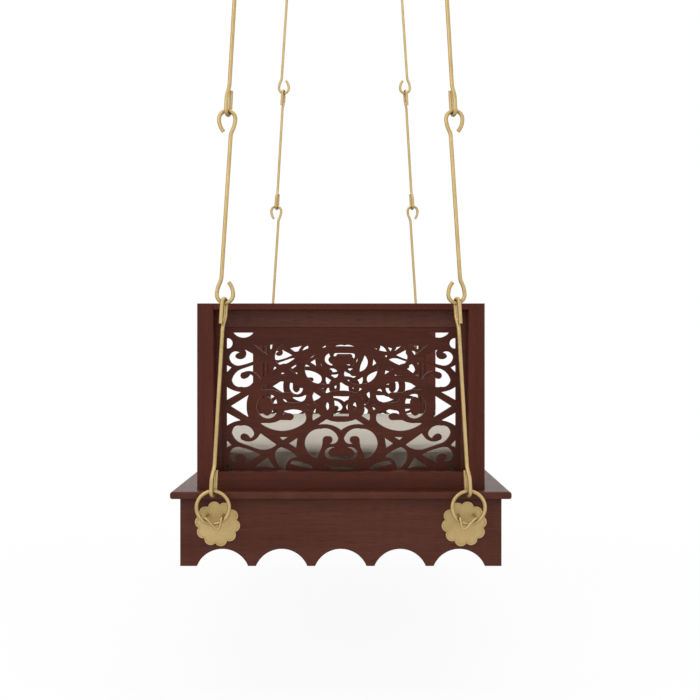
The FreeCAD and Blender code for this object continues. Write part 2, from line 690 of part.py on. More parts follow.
def screw_points():
    """Plan places of the two screws under each post."""
    points = []
    middle_x = PANEL_FACE - size("panel_depth") / 2
    for end, side in CORNERS.values():
        y = side * (POST_EDGE + size("post_width") / 2 - size("screw_inward"))
        for step in (-0.5, 0.5):
            points.append((end * (middle_x + step * size("screw_spacing")), y))
    return points


def apron(name, length, label, position, turn, legs=()):
    """A plank on edge with a row of round scallops along its lower edge."""
    depth = size("apron_depth")
    half_chord = size("scallop_chord") / 2
    rise = size("scallop_rise")
    spare = length - 2 * size("scallop_margin") - size("scallop_chord")
    count = int(spare // size("scallop_pitch")) + 1
    first = -(count - 1) * size("scallop_pitch") / 2
    body = new_body(name)
    face = new_sketch(body, name + "_face", "XZ_Plane", rectangle(-length / 2, length / 2, -depth, 0))
    new_pad(body, face, name + "_plank", "apron_thickness")
    scallop = [
        arc_through((first - half_chord, -depth), (first, rise - depth), (first + half_chord, -depth)),
        Part.LineSegment(Vector(first + half_chord, -depth, 0), Vector(first - half_chord, -depth, 0)),
    ]
    first_scallop = new_sketch(body, name + "_scallop", "XZ_Plane", scallop)
    cut = new_pocket(body, first_scallop, name + "_cut", "2 * apron_thickness")
    row = body.newObject("PartDesign::LinearPattern", name + "_row")
    row.Originals = [cut]
    row.Direction = (origin_feature(body, "X_Axis"), [""])
    row.Mode = "Spacing"
    bind(row, Offset="scallop_pitch")
    row.Occurrences = count
    body.Tip = row
    if legs:
        hole_radius = size("staple_wire") / 2 + size("staple_play")
        leg_z = RING_Z - size("staple_leg_drop") - BOARD_FOOT_Z
        holes = new_sketch(body, name + "_legs", "XZ_Plane", [circle(y, leg_z, hole_radius) for y in legs])
        new_pocket(body, holes, name + "_leg_holes", "3 * apron_thickness")
    place(body, *position, FreeCAD.Rotation(Z_AXIS, turn))
    keep(body, label)


def aprons():
    """Two long aprons between two end aprons, all scalloped below."""
    half_plank = size("apron_thickness") / 2
    legs = [y for side in SIDES.values() for y in staple_legs(side)]
    for label, end in ENDS.items():
        position = (end * (APRON_FACE - half_plank), 0, BOARD_FOOT_Z)
        apron(f"skirt_{label}", 2 * APRON_HALF_WIDTH, f"apron_{label}", position, 90, legs)
    for label, side in SIDES.items():
        position = (0, side * (APRON_HALF_WIDTH - half_plank), BOARD_FOOT_Z)
        apron(f"skirt_{label}", 2 * (APRON_FACE - size("apron_thickness")), f"apron_{label}", position, 0)


def corner_blocks():
    """Glue blocks in the four corners of the apron frame."""
    blocks = []
    side_length = size("corner_block_side")
    for corner, (end, side) in CORNERS.items():
        block = document.addObject("Part::Box", f"block_{corner}")
        bind(block, Length="corner_block_side", Width="corner_block_side", Height="corner_block_depth")
        x = end * (APRON_FACE - size("apron_thickness") - side_length / 2) - side_length / 2
        y = side * (BLOCK_SIDE_Y + side_length / 2) - side_length / 2
        place(block, x, y, BLOCK_TOP_Z - size("corner_block_depth"))
        blocks.append(block)
    compound("corner_blocks", blocks)


def cross_battens():
    """Battens under the deck, from one long apron to the other."""
    battens = []
    half_run = APRON_HALF_WIDTH - size("apron_thickness")
    for step in (-1, 0, 1):
        batten = document.addObject("Part::Box", f"batten_{step + 1}")
        bind(batten, Length="batten_width", Height="batten_depth",
             Width="seat_depth - 2 * board_overhang - 2 * apron_thickness")
        x = step * size("batten_spacing") - size("batten_width") / 2
        place(batten, x, -half_run, BOARD_FOOT_Z - size("batten_depth"))
        battens.append(batten)
    compound("cross_battens", battens)


def posts():
    """Square posts with rounded arrises, drilled from below for their screws."""
    hole_radius = size("screw_diameter") / 2 + size("screw_play")
    middle_y = POST_EDGE + size("post_width") / 2
    middle_x = PANEL_FACE - size("panel_depth") / 2
    for corner, (end, side) in CORNERS.items():
        body = new_body(f"stump_{corner}")
        half_x = size("panel_depth") / 2
        half_y = size("post_width") / 2
        section = new_sketch(
            body, f"stump_{corner}_section", "XY_Plane", rectangle(-half_x, half_x, -half_y, half_y))
        square = new_pad(body, section, f"stump_{corner}_square", "panel_height", "One side")
        document.recompute()
        new_round(body, square, f"stump_{corner}_arris", edges_along(square.Shape, Z_AXIS), "post_rounding")
        centres = [
            (x - end * middle_x, y - side * middle_y)
            for x, y in screw_points() if x * end > 0 and y * side > 0
        ]
        holes = new_sketch(
            body, f"stump_{corner}_holes", "XY_Plane", [circle(x, y, hole_radius) for x, y in centres])
        new_pocket(body, holes, f"stump_{corner}_drilling", "2 * screw_length")
        place(body, end * middle_x, side * middle_y, SEAT_Z)
        keep(body, f"post_{corner}")


def rails():
    """Top and bottom rail of each end panel, between its posts."""
    for label, end in ENDS.items():
        head = document.addObject("Part::Box", f"head_{label}")
        bind(head, Length="panel_depth", Width="panel_width - 2 * post_width", Height="top_rail_height")
        x = end * (PANEL_FACE - size("panel_depth") / 2) - size("panel_depth") / 2
        place(head, x, -POST_EDGE, SEAT_Z + size("panel_height") - size("top_rail_height"))
        keep(head, f"top_rail_{label}")
        foot = document.addObject("Part::Box", f"foot_{label}")
        bind(foot, Length="recess_depth", Width="panel_width - 2 * post_width", Height="bottom_rail_height")
        x = end * (PANEL_FACE - size("recess_depth") / 2) - size("recess_depth") / 2
        place(foot, x, -POST_EDGE, SEAT_Z)
        keep(foot, f"bottom_rail_{label}")


def inner_frames():
    """The set-back frame round each pierced board, open at its foot."""
    opening_half = POST_EDGE - size("frame_stile_width")
    frame_top = size("panel_height") - size("top_rail_height")
    head_foot = frame_top - size("frame_head_height")
    outline = polygon([
        (-POST_EDGE, 0), (-opening_half, 0), (-opening_half, head_foot), (opening_half, head_foot),
        (opening_half, 0), (POST_EDGE, 0), (POST_EDGE, frame_top), (-POST_EDGE, frame_top),
    ])
    for label, end in ENDS.items():
        body = new_body(f"surround_{label}")
        face = new_sketch(body, f"surround_{label}_face", "YZ_Plane", outline)
        new_pad(body, face, f"surround_{label}_wood", "frame_thickness")
        place(body, end * (FRAME_FACE - size("frame_thickness") / 2), 0, SEAT_Z)
        keep(body, f"inner_frame_{label}")


def mattress():
    """A plain block for the mattress between the end panels."""
    body = new_body("pad")
    half_length = PANEL_BACK - size("mattress_play")
    half_width = size("mattress_width") / 2
    outline = new_sketch(
        body, "pad_outline", "XY_Plane", rectangle(-half_length, half_length, -half_width, half_width))
    block = new_pad(body, outline, "pad_block", "mattress_thickness", "One side")
    document.recompute()
    new_round(body, block, "pad_upright_edges", edges_along(block.Shape, Z_AXIS), "mattress_rounding")
    place(body, 0, 0, SEAT_Z)
    keep(body, "mattress")


def wood_screws():
    """Pan-headed screws up through the deck into the posts."""
    screws = []
    for number, (x, y) in enumerate(screw_points()):
        head = document.addObject("Part::Cylinder", f"screw_{number}_head")
        bind(head, Radius="screw_head_radius", Height="screw_head_height")
        place(head, x, y, BOARD_FOOT_Z - size("screw_head_height"))
        shank = document.addObject("Part::Cylinder", f"screw_{number}_shank")
        bind(shank, Radius="screw_diameter / 2", Height="screw_length - screw_point")
        place(shank, x, y, BOARD_FOOT_Z)
        point = document.addObject("Part::Cone", f"screw_{number}_point")
        bind(point, Radius1="screw_diameter / 2", Height="screw_point")
        point.Radius2 = 0
        place(point, x, y, BOARD_FOOT_Z + size("screw_length") - size("screw_point"))
        screw = document.addObject("Part::MultiFuse", f"screw_{number}")
        screw.Shapes = [head, shank, point]
        screws.append(screw)
    compound("wood_screws", screws)


class Bow(tuple):
    """The middle point of an arc between the two corners beside it."""


# The pierced pattern is drawn on a grid with its middle at (0, 0): u to the side and v downwards.
# A plain pair is a corner and a Bow is the middle of an arc.  The openings' field reaches
# JALI_HALF_WIDTH to each side and JALI_HALF_HEIGHT up and down.
JALI_HALF_WIDTH = 114.65
JALI_HALF_HEIGHT = 73.7

# Openings of one quarter, repeated by reflection in both middle lines.
JALI_QUARTER = {
    "edge_triangle": [(114.65, 6.2), (100.3, 14.2), Bow((107.5, 15.8)), (114.65, 19.6)],
    "side_scroll": [
        (80.6, 27.1), (64.7, 38.4), Bow((73.2, 43.0)), (84.3, 42.5), (100.2, 37.1),
        Bow((106.5, 32.6)), (109.6, 26.5), Bow((106.8, 21.0)), (100.2, 19.5),
        Bow((91.2, 21.0)), (87.1, 26.7), Bow((88.4, 30.2)), (91.2, 32.0), Bow((94.0, 28.6)),
        (97.2, 27.3), Bow((100.7, 29.8)), (97.7, 34.2), Bow((90.8, 35.2)), (84.3, 32.1),
    ],
    "edge_wedge": [(114.65, 33.8), (109.7, 38.8), (114.65, 41.3)],
    "corner_scroll": [
        (99.2, 58.2), (80.6, 48.4), Bow((90.4, 44.0)), (101.7, 40.8), Bow((109.6, 43.4)),
        (112.2, 49.2), Bow((108.6, 54.2)), (101.7, 53.7), Bow((104.9, 52.2)), (106.0, 49.5),
        Bow((102.0, 47.1)), (97.7, 48.0), Bow((95.2, 52.4)),
    ],
    "foot_lens": [(87.6, 73.7), Bow((97.8, 68.7)), (108.0, 73.7)],
    "edge_lens": [(114.65, 58.0), Bow((108.6, 63.0)), (114.65, 68.0)],
    "foot_kite": [(73.5, 51.3), (88.0, 62.0), Bow((77.5, 60.4)), (66.0, 63.0)],
    "foot_blade": [(29.3, 60.3), Bow((38.5, 56.0)), (49.3, 54.6), (51.0, 58.0), (28.5, 63.0)],
    "middle_scroll": [
        (81.5, 16.9), Bow((71.5, 22.4)), (60.2, 24.8), Bow((48.0, 22.8)), (38.0, 17.6),
        Bow((35.0, 11.6)), (37.8, 5.4), Bow((45.5, 3.3)), (54.0, 4.2), Bow((57.6, 5.7)),
        (58.2, 8.6), Bow((52.4, 6.9)), (47.6, 9.2), Bow((48.3, 12.6)), (52.0, 13.9),
        (61.0, 13.8), Bow((68.0, 16.4)), (75.5, 16.7),
    ],
    "middle_wing": [(23.2, 0.6), Bow((27.6, 5.6)), (28.2, 14.4), (20.4, 9.6), Bow((23.4, 5.0))],
    "middle_dart": [(31.2, 0.6), (34.9, 2.4), (32.8, 4.0)],
    "heart_scroll": [
        (24.0, 52.0), Bow((31.8, 47.6)), (36.4, 39.0), Bow((32.6, 27.6)), (20.0, 22.6),
        Bow((7.2, 25.4)), (2.9, 32.0), Bow((6.0, 37.0)), (12.0, 37.2), Bow((8.6, 34.0)),
        (13.0, 30.2), Bow((17.6, 31.4)), (18.6, 35.0), Bow((19.4, 40.4)), (21.8, 46.0),
    ],
    "crossing_top": [(62.0, 31.0), (53.0, 30.8), (58.6, 33.9)],
    "crossing_side": [(43.8, 31.8), (52.2, 37.4), (45.2, 41.6)],
    "crossing_fan": [
        (59.5, 41.0), Bow((65.2, 44.8)), (66.4, 50.0), Bow((64.6, 56.2)), (60.2, 61.2),
        (56.0, 63.0), Bow((54.0, 56.0)), (49.4, 52.0), (43.8, 50.4), Bow((50.6, 45.0)),
    ],
}
# Openings that lie across a middle line, drawn by their half and completed by reflection.
# These lie on the line v = 0 and are repeated at both sides.
JALI_LEVEL = {
    "side_dart": [(110.6, 0.0), (92.5, 11.4), Bow((94.2, 5.8)), (94.6, 0.0)],
    "shell": [
        (84.6, 0.0), Bow((81.4, 8.7)), (73.8, 12.3), Bow((66.8, 9.6)), (64.2, 2.6), (69.0, 2.6),
        Bow((70.4, 7.2)), (74.0, 9.6), Bow((78.2, 6.9)), (79.6, 0.0),
    ],
    "middle_leaf": [(12.3, 0.0), Bow((12.6, 2.6)), (14.0, 4.0), Bow((14.8, 2.0)), (15.2, 0.0)],
}
# These lie on the line u = 0 and are repeated above and below.
JALI_UPRIGHT = {
    "bow": [
        (0.0, 15.6), Bow((7.4, 15.2)), (14.6, 13.0), (23.4, 18.8), Bow((10.0, 18.9)), (0.0, 24.0),
    ],
    "heart_cup": [
        (0.0, 53.2), (10.4, 53.0), Bow((15.8, 49.6)), (15.9, 44.8), Bow((12.9, 41.9)), (4.6, 42.0),
        Bow((10.9, 43.2)), (12.9, 46.5), Bow((11.3, 49.4)), (7.0, 50.2), (0.0, 50.2),
    ],
    "heart_foot": [(0.0, 60.2), (10.6, 60.0), Bow((15.2, 59.4)), (19.0, 58.4), Bow((12.0, 63.0)), (0.0, 63.4)],
}
# Half of the middle opening, completed about u = 0.
JALI_MIDDLE = [(0.0, -10.0), (8.0, -10.0), Bow((6.4, 0.0)), (8.0, 10.0), (0.0, 10.0)]


def reflected(outline, across, along):
    """An outline's points with u and v multiplied by signs."""
    return [type(point)((point[0] * across, point[1] * along)) for point in outline]


def completed(half, across, along):
    """A closed outline from its half, which starts and ends on a middle line."""
    mirror_half = reflected(half, across, along)
    return half + mirror_half[-2:0:-1]


def outline_edges(outline, across_scale, up_scale):
    """Sketch lines and arcs for a closed outline on the grid."""
    edges = []
    count = len(outline)
    for number, point in enumerate(outline):
        if isinstance(point, Bow):
            continue
        following = outline[(number + 1) % count]
        if isinstance(following, Bow):
            end = outline[(number + 2) % count]
            points = [(u * across_scale, -v * up_scale) for u, v in (point, following, end)]
            edges.append(arc_through(*points))
        else:
            start_vector = Vector(point[0] * across_scale, -point[1] * up_scale, 0)
            end_vector = Vector(following[0] * across_scale, -following[1] * up_scale, 0)
            edges.append(Part.LineSegment(start_vector, end_vector))
    return edges


def jali_openings():
    """Every opening of the pierced board as a closed outline on the grid."""
    outlines = [completed(JALI_MIDDLE, -1, 1)]
    for across in (1, -1):
        for along in (1, -1):
            outlines += [reflected(outline, across, along) for outline in JALI_QUARTER.values()]
        outlines += [reflected(completed(half, 1, -1), across, 1) for half in JALI_LEVEL.values()]
        outlines += [reflected(completed(half, -1, 1), 1, across) for half in JALI_UPRIGHT.values()]
    return outlines


def jali_boards():
    """The pierced boards: scrolls, darts and lenses sawn through a thin board."""
    half_width = POST_EDGE - size("frame_stile_width")
    board_top = size("panel_height") - size("top_rail_height") - size("frame_head_height")
    field_half = half_width - size("jali_side_border")
    field_top = board_top - size("jali_top_border")
    field_half_height = (field_top - size("jali_foot_border")) / 2
    across_scale = field_half / JALI_HALF_WIDTH
    up_scale = field_half_height / JALI_HALF_HEIGHT
    middle_height = size("jali_foot_border") + field_half_height
    openings = [edge for outline in jali_openings() for edge in outline_edges(outline, across_scale, up_scale)]
    for label, end in ENDS.items():
        body = new_body(f"screen_{label}")
        face = rectangle(-half_width, half_width, -middle_height, board_top - middle_height)
        blank = new_sketch(body, f"screen_{label}_blank", "YZ_Plane", face)
        new_pad(body, blank, f"screen_{label}_board", "jali_thickness")
        pattern = new_sketch(body, f"screen_{label}_pattern", "YZ_Plane", openings)
        new_pocket(body, pattern, f"screen_{label}_piercing", "2 * jali_thickness")
        x = FRAME_FACE - size("jali_setback") - size("jali_thickness") / 2
        place(body, end * x, 0, SEAT_Z + middle_height)
        keep(body, f"jali_board_{label}")


def check_document():
    """Stop if any object failed or any sub-part has no valid solid."""
    for item in document.Objects:
        if {"Invalid", "Error"} & set(item.State):
            raise RuntimeError(f"{item.Name} failed: {item.State}")
    for node in nodes:
        if node.Shape.isNull() or not node.Shape.isValid() or not node.Shape.Solids:
            raise RuntimeError(f"{node.Label} has no valid shape")


def main():
    """Build every sub-part, check it and write its file."""
    ceiling_brackets()
    anchor_bolts()
    axle_pins()
    swing_links()
    chain_rods()
    rings()
    rosettes()
    staples()
    staple_nuts()
    seat_board()
    aprons()
    corner_blocks()
    cross_battens()
    posts()
    rails()
    inner_frames()
    jali_boards()
    mattress()
    wood_screws()
    document.recompute()
    check_document()
    os.makedirs("parts", exist_ok=True)
    for node in nodes:
        node.Shape.exportStep(f"parts/{node.Label}.step")
        print(f"{node.Label}: {len(node.Shape.Solids)} solid, {node.Shape.Volume / 1000:.1f} cm3")


main()
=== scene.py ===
"""Finishes, mattress and studio for a hanging jhoola seat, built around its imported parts."""

import logging
import math
from collections.abc import Callable
from dataclasses import dataclass, field
from enum import Enum

import bpy
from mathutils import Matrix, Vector


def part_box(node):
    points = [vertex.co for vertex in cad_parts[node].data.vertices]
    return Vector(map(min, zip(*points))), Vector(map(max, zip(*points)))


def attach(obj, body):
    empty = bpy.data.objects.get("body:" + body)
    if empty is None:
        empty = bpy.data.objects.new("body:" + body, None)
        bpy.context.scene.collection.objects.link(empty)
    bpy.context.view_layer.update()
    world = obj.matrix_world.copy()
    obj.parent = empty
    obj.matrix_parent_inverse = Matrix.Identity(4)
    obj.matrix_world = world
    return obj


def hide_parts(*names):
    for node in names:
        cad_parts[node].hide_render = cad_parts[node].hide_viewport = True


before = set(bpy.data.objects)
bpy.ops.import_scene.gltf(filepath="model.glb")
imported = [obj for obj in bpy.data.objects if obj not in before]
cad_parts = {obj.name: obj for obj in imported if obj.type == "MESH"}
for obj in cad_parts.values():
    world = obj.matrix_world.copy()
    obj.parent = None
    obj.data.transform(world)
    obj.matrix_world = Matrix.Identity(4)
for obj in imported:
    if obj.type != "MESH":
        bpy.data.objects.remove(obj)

LOG = logging.getLogger("jhoola")
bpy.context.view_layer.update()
MILLIMETRE = 0.001
CORNERS = ("right_front", "right_back", "left_front", "left_back")
ENDS = ("right", "left")
BACKGROUND_RAYS = ("Camera", "Glossy", "Transmission")
WHITE = (1.0, 1.0, 1.0)
MIX_SHARE, MIX_FIRST, MIX_SECOND, MIX_RESULT = 0, 6, 7, 2  # a Mix node's colour sockets
OCCLUSION_SAMPLES = 6
BEVEL_SAMPLES = 4

Triple = tuple[float, float, float]
Pair = tuple[float, float]


class Grain(Enum):
    """The row axis that a timber's grain runs along."""

    ALONG_X = 0
    ALONG_Y = 1
    ALONG_Z = 2


# ---------------------------------------------------------------- shader maths


class Socket:
    """A shader socket that takes part in plain expressions."""

    def __init__(self, tree: bpy.types.NodeTree, output: bpy.types.NodeSocket) -> None:
        """Wrap an output socket of a node tree.

        Args:
            tree: the tree that new Math nodes go into.
            output: the socket whose value this stands for.
        """
        self.tree = tree
        self.output = output

    def _math(self, operation: str, first: object, second: object) -> "Socket":
        """Add one Math node.

        Args:
            operation: the node's operation.
            first: its first value, a Socket or a number.
            second: its second value.

        Returns:
            The node's result.
        """
        node = self.tree.nodes.new("ShaderNodeMath")
        node.operation = operation
        for place, value in enumerate((first, second)):
            if isinstance(value, Socket):
                self.tree.links.new(value.output, node.inputs[place])
            else:
                node.inputs[place].default_value = value
        return Socket(self.tree, node.outputs[0])

    def __add__(self, other: object) -> "Socket":
        """Sum."""
        return self._math("ADD", self, other)

    def __radd__(self, other: float) -> "Socket":
        """Sum with a number first."""
        return self._math("ADD", other, self)

    def __sub__(self, other: object) -> "Socket":
        """Difference."""
        return self._math("SUBTRACT", self, other)

    def __rsub__(self, other: float) -> "Socket":
        """Difference from a number."""
        return self._math("SUBTRACT", other, self)

    def __mul__(self, other: object) -> "Socket":
        """Product."""
        return self._math("MULTIPLY", self, other)

    def __rmul__(self, other: float) -> "Socket":
        """Product with a number first."""
        return self._math("MULTIPLY", other, self)

    def sine(self) -> "Socket":
        """Sine of this value, in radians."""
        return self._math("SINE", self, 0.0)


def weighted(values: list[Socket], shares: tuple[float, ...]) -> Socket:
    """Add values up, each times its share.

    Args:
        values: the values.
        shares: one number for each of them.

    Returns:
        The sum.
    """
    total = values[0] * shares[0]
    for value, share in zip(values[1:], shares[1:]):
        total = total + value * share
    return total


@dataclass(frozen=True)
class Tone:
    """The darkest, usual and lightest colour of a stained timber; deep and warm are batches of
    stain, dark and pale are painted shade and painted reflection.
    """

    name: str
    dark: Triple
    middle: Triple
    light: Triple


@dataclass(frozen=True)
class Relief:
    """A texture's depth: its strength, the height of a full step, and an edge's easing."""

    strength: float
    step: float
    easing: float = 0.0


DEEP = Tone("deep", (0.049, 0.0082, 0.0035), (0.074, 0.0135, 0.0062), (0.104, 0.0240, 0.0125))
WARM = Tone("warm", (0.052, 0.0120, 0.0062), (0.077, 0.0205, 0.0112), (0.108, 0.0325, 0.0185))
# Darker copy of the deep stain, painted shade for the recessed jali boards and the bottom rails.
PAINTED_SHADE_TONE = Tone("dark", (0.043, 0.0080, 0.0034), (0.064, 0.0128, 0.0058), (0.092, 0.0225, 0.0115))
# Lighter, greyer copy of the stain, painted reflection of the white surroundings on the inner
# frames.
PAINTED_REFLECTION_TONE = Tone("pale", (0.062, 0.0170, 0.0115), (0.092, 0.0290, 0.0205), (0.124, 0.0430, 0.0300))


class Graph:
    """A node tree, and the one way in which nodes other than Math are added to it."""

    def __init__(self, tree: bpy.types.NodeTree) -> None:
        """Work on a node tree.

        Args:
            tree: the tree that nodes go into.
        """
        self.tree = tree

    def node(self, kind: str, settings: dict, values: dict, output: object = 0) -> Socket:
        """Add a node.

        Args:
            kind: the node's type.
            settings: its properties, set first; "stops" sets a ramp's colour stops.
            values: its sockets by name or place, as numbers, colours or Sockets.
            output: name or place of the result that is wanted.

        Returns:
            The wanted result.
        """
        node = self.tree.nodes.new(kind)
        for key, value in settings.items():
            if key == "stops":
                self._set_stops(node.color_ramp, value)
            else:
                setattr(node, key, value)
        for key, value in values.items():
            if isinstance(value, Socket):
                self.tree.links.new(value.output, node.inputs[key])
            else:
                node.inputs[key].default_value = value
        return Socket(self.tree, node.outputs[output])

    @staticmethod
    def _set_stops(ramp: bpy.types.ColorRamp, stops: list[tuple[float, Triple]]) -> None:
        """Give a ramp its stops.

        Args:
            ramp: the colour ramp.
            stops: pairs of position and colour.
        """
        while len(ramp.elements) < len(stops):
            ramp.elements.new(1.0)
        for element, (position, colour) in zip(ramp.elements, stops):
            element.position = position
            element.color = (*colour, 1.0)

    def background_rays(self) -> Socket:
        """Tell the rays that show the plain background from those that only light.

        Returns:
            1 for camera, glossy and transmission rays, and 0 for the rest.
        """
        camera, glossy, through = [
            self.node("ShaderNodeLightPath", {}, {}, f"Is {kind} Ray") for kind in BACKGROUND_RAYS
        ]
        return camera + glossy + through


class Surface(Graph):
    """One material under construction, with its Principled shader."""

    def __init__(self, name: str) -> None:
        """Start an empty material.

        Args:
            name: the material's name.
        """
        self.material = bpy.data.materials.new(name)
        self.material.use_nodes = True
        super().__init__(self.material.node_tree)
        self.tree.nodes.clear()
        self.shader = self.tree.nodes.new("ShaderNodeBsdfPrincipled")
        self.end = self.tree.nodes.new("ShaderNodeOutputMaterial")
        self.tree.links.new(self.shader.outputs["BSDF"], self.end.inputs["Surface"])

    def place(self, scale: Triple = (1.0, 1.0, 1.0)) -> Socket:
        """Object coordinates through a Mapping node.

        Args:
            scale: how often a pattern repeats per metre along each axis.

        Returns:
            The mapped coordinates.
        """
        where = self.node("ShaderNodeTexCoord", {}, {}, "Object")
        return self.node("ShaderNodeMapping", {}, {"Vector": where, "Scale": scale})

    def noise(self, where: Socket, scale: float, detail: float, roughness: float = 0.5) -> Socket:
        """Noise from 0 to 1.

        Args:
            where: coordinates.
            scale: the noise's scale.
            detail: how many finer layers it has.
            roughness: weight of the finer layers.

        Returns:
            The noise value.
        """
        values = {"Vector": where, "Scale": scale, "Detail": detail, "Roughness": roughness}
        return self.node("ShaderNodeTexNoise", {}, values)

    def ramp(self, factor: Socket, places: tuple[float, ...], colours: tuple) -> Socket:
        """Read a colour from a ramp.

        Args:
            factor: where on the ramp, from 0 to 1.
            places: where its stops stand.
            colours: the stops' colours.

        Returns:
            The colour.
        """
        stops = list(zip(places, colours))
        return self.node("ShaderNodeValToRGB", {"stops": stops}, {"Fac": factor})

    def _mix(self, kind: str, share: object, first: Socket, second: object) -> Socket:
        """Mix two colours.

        Args:
            kind: the blend type.
            share: how far the second colour counts, from 0 to 1.
            first: the first colour.
            second: the second colour.

        Returns:
            The mixed colour.
        """
        settings = {"data_type": "RGBA", "blend_type": kind}
        values = {MIX_SHARE: share, MIX_FIRST: first, MIX_SECOND: second}
        return self.node("ShaderNodeMix", settings, values, MIX_RESULT)

    def shaded(self, colour: Socket, shade_in_hollows: Triple, reach: float) -> Socket:
        """A colour with painted shade, darker where the surface is hemmed in.

        Args:
            colour: the open surface's colour.
            shade_in_hollows: what the colour is multiplied by in the deepest corners.
            reach: how far away a neighbour still darkens it, in metres.

        Returns:
            The darkened colour.
        """
        settings = {"samples": OCCLUSION_SAMPLES}
        openness = self.node("ShaderNodeAmbientOcclusion", settings, {"Distance": reach}, "AO")
        tint = self.ramp(openness, (0.15, 0.85), (shade_in_hollows, WHITE))
        return self._mix("MULTIPLY", 1.0, colour, tint)

    def blend(self, share: Socket, colour: Socket, other: Triple) -> Socket:
        """A colour mixed with a plain one.

        Args:
            share: how much of the plain colour shows, from 0 to 1.
            colour: the first colour.
            other: the plain colour.

        Returns:
            The mixed colour.
        """
        return self._mix("MIX", share, colour, (*other, 1.0))

    def _eased(self, radius: float) -> Socket:
        """The normal of the surface with its edges rounded by a radius in metres."""
        return self.node("ShaderNodeBevel", {"samples": BEVEL_SAMPLES}, {"Radius": radius})

    def arris(self, radius: float) -> Socket:
        """A mask that rises from 0 on the flats to 1 at outer and inner edges.

        Args:
            radius: how far from an edge it reaches, in metres.

        Returns:
            The mask.
        """
        plain = self.node("ShaderNodeNewGeometry", {}, {}, "True Normal")
        normals = {0: self._eased(radius), 1: plain}
        likeness = self.node("ShaderNodeVectorMath", {"operation": "DOT_PRODUCT"}, normals, "Value")
        spread = {"Value": likeness, "From Min": 1.0, "From Max": 0.8, "To Min": 0.0, "To Max": 1.0}
        return self.node("ShaderNodeMapRange", {}, spread)

    def bump(self, height: Socket, relief: Relief) -> None:
        """Feed a height to the shader's normal.

        Args:
            height: the height field, from 0 to 1.
            relief: how deep it is.
        """
        values = {"Height": height, "Strength": relief.strength, "Distance": relief.step}
        if relief.easing > 0:
            values["Normal"] = self._eased(relief.easing)
        self.feed("Normal", self.node("ShaderNodeBump", {}, values, "Normal"))

    def feed(self, name: str, value: object) -> None:
        """Link a Socket to the shader, or set a plain value on it.

        Args:
            name: the shader's socket.
            value: a Socket, a number or a colour.
        """
        if isinstance(value, Socket):
            self.tree.links.new(value.output, self.shader.inputs[name])
        else:
            self.shader.inputs[name].default_value = value


# ---------------------------------------------------------------- finishes


@dataclass(frozen=True)
class Streak:
    """Noise drawn out along the grain: repeats per metre across and along it, then its detail."""

    across: float
    along: float
    detail: float
    roughness: float = 0.5


@dataclass(frozen=True)
class PolishedTimber:
    """Dark red-brown hardwood under a satin polish."""

    grain: Grain
    tone: Tone
    # Edge colour: real wear on the arrises, and a painted highlight where the eased edges catch
    # light.
    wear_and_highlight: Triple = (0.170, 0.062, 0.038)
    pore: Triple = (0.022, 0.0050, 0.0026)
    # Painted shade: the colour is multiplied down in corners and recesses, within this reach.
    shade_in_hollows: Triple = (0.86, 0.60, 0.40)
    shade_reach: float = 10 * MILLIMETRE
    wear_and_highlight_reach: float = 1.2 * MILLIMETRE
    wear_and_highlight_share: float = 0.55
    figure: Streak = Streak(26.0, 1.6, 6.0, 0.62)
    pores: Streak = Streak(300.0, 10.0, 2.0, 0.7)
    vessels: Streak = Streak(1500.0, 38.0, 1.0)
    broad_scale: float = 2.2
    depth_shares: Triple = (0.50, 0.24, 0.26)
    depth_stops: Triple = (0.34, 0.51, 0.69)
    vessel_edge: Pair = (0.58, 0.66)
    vessel_share: float = 0.62
    polish: float = 0.38
    pore_roughness: float = 0.18
    specular: float = 0.15
    coat: float = 0.03
    coat_roughness: float = 0.22
    height_shares: Triple = (0.4, 0.4, -0.2)
    relief: Relief = Relief(0.35, 0.40 * MILLIMETRE, 0.8 * MILLIMETRE)

    def _streaks(self, surface: Surface, streak: Streak) -> Socket:
        """Draw noise out along this timber's grain.

        Args:
            surface: the material that it goes into.
            streak: its scale and detail.

        Returns:
            The noise value.
        """
        scale = [streak.across] * 3
        scale[self.grain.value] = streak.along
        return surface.noise(surface.place(tuple(scale)), 1.0, streak.detail, streak.roughness)

    def material(self) -> bpy.types.Material:
        """Make the finish.

        Returns:
            The timber's material.
        """
        surface = Surface(f"timber_{self.tone.name}_{self.grain.name.lower()}")
        figure = self._streaks(surface, self.figure)
        broad = surface.noise(surface.place((self.broad_scale,) * 3), 1.0, 2.0)
        pores = self._streaks(surface, self.pores)
        low, high = self.vessel_edge
        spread = {"Value": self._streaks(surface, self.vessels), "From Min": low, "From Max": high}
        open_pores = surface.node("ShaderNodeMapRange", {}, spread)
        depth = weighted([figure, broad, pores], self.depth_shares)
        tones = (self.tone.dark, self.tone.middle, self.tone.light)
        stain = surface.ramp(depth, self.depth_stops, tones)
        stained = surface.blend(open_pores * self.vessel_share, stain, self.pore)
        # Lighter edges: real wear, and a painted highlight on the eased arrises.
        wear_and_highlight = surface.blend(surface.arris(self.wear_and_highlight_reach) * self.wear_and_highlight_share, stained, self.wear_and_highlight)
        # Painted shade in corners and recesses, from ambient occlusion.
        surface.feed("Base Color", surface.shaded(wear_and_highlight, self.shade_in_hollows, self.shade_reach))
        surface.feed("Roughness", self.polish + pores * self.pore_roughness)
        surface.feed("Specular IOR Level", self.specular)
        surface.feed("Coat Weight", self.coat)
        surface.feed("Coat Roughness", self.coat_roughness)
        surface.bump(weighted([pores, figure, open_pores], self.height_shares), self.relief)
        return surface.material


